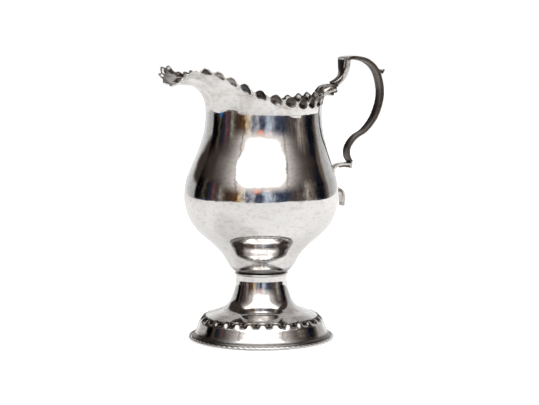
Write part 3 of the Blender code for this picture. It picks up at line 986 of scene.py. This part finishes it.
def build_table():
    """A plain pale table that ends a metre in front of the jug."""
    ahead, aside = towards_camera(), camera_right()
    corners = [ahead * TABLE_FRONT - aside * TABLE_SIDE, ahead * TABLE_FRONT + aside * TABLE_SIDE,
               -ahead * TABLE_BACK + aside * TABLE_SIDE, -ahead * TABLE_BACK - aside * TABLE_SIDE]
    mesh = bpy.data.meshes.new("table")
    mesh.from_pydata([place(corner) for corner in corners], [], [(0, 1, 2, 3)])
    material = bpy.data.materials.new("pale_table")
    material.use_nodes = True
    shader = material.node_tree.nodes["Principled BSDF"]
    shader.inputs["Base Color"].default_value = (0.86, 0.86, 0.86, 1.0)
    shader.inputs["Roughness"].default_value = 0.9
    shader.inputs["Specular IOR Level"].default_value = 0.0
    shader.inputs["Emission Color"].default_value = (1.0, 0.995, 0.985, 1.0)
    graph = Graph(material.node_tree)
    camera_sees = graph.add("ShaderNodeLightPath").outputs["Is Camera Ray"]
    graph.feed(shader.inputs["Emission Strength"], graph.remap(camera_sees, 0.0, 1.0, 0.0, 0.45))
    mesh.materials.append(material)
    table = bpy.data.objects.new("table", mesh)
    bpy.context.scene.collection.objects.link(table)


def tone(red, green, blue):
    """A display colour, from 0 to 255, as the light it stands for."""
    return tuple((value / 255.0) ** 2.2 for value in (red, green, blue))


def streaks(graph, around, height, across, upright, layer, detail, roughness):
    """Noise over bearing and height, with this many waves to a degree each way."""
    wide = graph.math("MULTIPLY", around, across)
    tall = graph.math("MULTIPLY", height, upright)
    return graph.noise(graph.combine(wide, tall, layer), 1.0, detail, roughness)


def room_colors(graph, around, height):
    """The dim studio in front of the jug: upright streaks of dark, brown, grey and blue things."""
    wander = streaks(graph, around, height, 0.05, 0.10, 1.0, 2.0, 0.5)
    bearing = graph.math("ADD", around, graph.math("MULTIPLY", graph.math("SUBTRACT", wander, 0.5), 14.0))
    stops = [((stop + 180.0) / 360.0, tone(*color)) for stop, color in ROOM_STOPS]
    room = graph.ramp(graph.math("DIVIDE", graph.math("ADD", bearing, 180.0), 360.0), stops)
    fine = streaks(graph, around, height, 0.30, 0.06, 5.0, 4.0, 0.7)
    fine = graph.remap(fine, 0.30, 0.70, 0.35, 1.7)
    return graph.mix(1.0, room, graph.combine(fine, fine, fine), "MULTIPLY")


def patch(graph, around, height, bearing, wide, level, tall):
    """1 inside an upright oval patch of the studio, fading to 0 around it."""
    across = graph.math("DIVIDE", graph.math("SUBTRACT", around, bearing), wide)
    upright = graph.math("DIVIDE", graph.math("SUBTRACT", height, level), tall)
    away = graph.math("ADD", graph.math("POWER", across, 2.0), graph.math("POWER", upright, 2.0))
    return graph.remap(away, 1.3, 0.6)


def halo_share(graph, across, height, front):
    """Where the soft glow around the big lamp lies."""
    halo = graph.math("MULTIPLY", graph.remap(across, 0.96, 0.40), graph.remap(height, 9.0, 26.0))
    return graph.math("MULTIPLY", graph.math("POWER", halo, 1.1), graph.remap(front, -0.10, 0.10))


def lamp_share(graph, across, height, front):
    """Where the big soft lamp in front of the jug lies: a wide block with narrower ends."""
    spread = graph.math("ADD", across, graph.remap(height, 40.0, 22.0, 0.0, 0.17))
    spread = graph.math("ADD", spread, graph.remap(height, 50.0, 80.0, 0.0, 0.40))
    lamp = graph.math("MULTIPLY", graph.remap(spread, 0.67, 0.52), graph.remap(height, 21.5, 27.0))
    lamp = graph.math("MULTIPLY", lamp, graph.remap(height, 86.0, 79.0))
    return graph.math("MULTIPLY", lamp, graph.remap(front, -0.06, 0.02))


def twig_share(graph, side, across, height, front):
    """Two thin ragged lines, one beside each end of the lamp."""
    ragged = graph.noise(graph.combine(graph.math("MULTIPLY", height, 0.22), side, 2.0), 1.0, 4.0, 0.7)
    ragged = graph.math("ADD", 0.60, graph.math("MULTIPLY", graph.math("SUBTRACT", ragged, 0.5), 0.22))
    twig = graph.remap(graph.math("ABSOLUTE", graph.math("SUBTRACT", across, ragged)), 0.022, 0.006)
    twig = graph.math("MULTIPLY", twig, graph.remap(front, 0.2, 0.4))
    return graph.math("MULTIPLY", twig, 0.65)


def backdrop_colors(graph, around, aside, height):
    """The pale backdrop behind the jug, with a dark screen beside it on the left."""
    white = graph.mix(graph.remap(aside, 117.0, 174.0), tone(*BACKDROP_EDGE), tone(*BACKDROP_MIDDLE))
    white = graph.mix(graph.remap(height, 10.0, 40.0), white, tone(*BACKDROP_HIGH))
    screen = graph.math("MULTIPLY", graph.remap(around, -150.0, -144.0), graph.remap(around, -100.0, -110.0))
    screen = graph.math("MULTIPLY", screen, graph.remap(height, 8.0, 13.0))
    return graph.mix(screen, white, tone(*SCREEN_COLOR))


def build_world():
    """The studio as the silver sees it: a pale backdrop behind, a big lamp in front, a dim room around."""
    world = bpy.data.worlds.new("studio")
    bpy.context.scene.world = world
    world.use_nodes = True
    graph = Graph(world.node_tree)
    background = world.node_tree.nodes["Background"]
    seen = graph.add("ShaderNodeTexCoord").outputs["Generated"]
    front = graph.vector("DOT_PRODUCT", seen, tuple(towards_camera()))
    side = graph.vector("DOT_PRODUCT", seen, tuple(camera_right()))
    up = graph.vector("DOT_PRODUCT", seen, (0.0, 0.0, 1.0))
    around = graph.math("DEGREES", graph.math("ARCTAN2", side, front))
    aside = graph.math("ABSOLUTE", graph.math("SUBTRACT", around, 1.5))
    height = graph.math("DEGREES", graph.math("ARCSINE", up))
    across = graph.math("ABSOLUTE", side)

    room = room_colors(graph, around, height)
    for bearing, wide, level, tall, color in ROOM_PATCHES:
        room = graph.mix(patch(graph, around, height, bearing, wide, level, tall), room, tone(*color))
    room = graph.mix(graph.remap(height, 16.0, 26.0), room, tone(*CEILING_COLOR))
    room = graph.mix(halo_share(graph, across, height, front), room, tone(*HALO_COLOR))
    room = graph.mix(lamp_share(graph, across, height, front), room, LAMP_LIGHT)
    room = graph.mix(twig_share(graph, side, across, height, front), room, tone(*TWIG_COLOR))
    backdrop = backdrop_colors(graph, around, aside, height)
    studio = graph.mix(graph.remap(aside, 116.0, 121.0), room, backdrop)

    camera_sees = graph.add("ShaderNodeLightPath").outputs["Is Camera Ray"]
    graph.feed(background.inputs["Color"], graph.mix(camera_sees, studio, (1.0, 1.0, 1.0)))
    background.inputs["Strength"].default_value = 1.0


def build_shadow_lamp():
    """A soft square lamp behind the jug and to its right, which the silver doesn't show."""
    data = bpy.data.lights.new("shadow_lamp", "AREA")
    data.size = SHADOW_LAMP_SIZE * MM
    data.energy = SHADOW_LAMP_WATTS
    lamp = bpy.data.objects.new("shadow_lamp", data)
    bpy.context.scene.collection.objects.link(lamp)
    ahead, aside, height = SHADOW_LAMP_SPOT
    lamp.location = place(towards_camera() * ahead + camera_right() * aside + np.array([0.0, 0.0, height]))
    lamp.rotation_euler = (place((0.0, 0.0, 60.0)) - lamp.location).to_track_quat("-Z", "Y").to_euler()
    lamp.visible_glossy = False


def main():
    """The whole jug, the table it stands on, the studio around it and the camera."""
    bright = silver("bright_silver_finish", **BRIGHT_FINISH)
    cast = silver("cast_silver_finish", **CAST_FINISH)
    build_bowl(bright)
    build_collar(bright)
    build_foot(bright)
    build_foot_wire(bright)
    build_handle(cast)
    build_table()
    build_world()
    build_shadow_lamp()
    build_camera()
    bpy.context.scene.view_settings.view_transform = "Standard"


main()
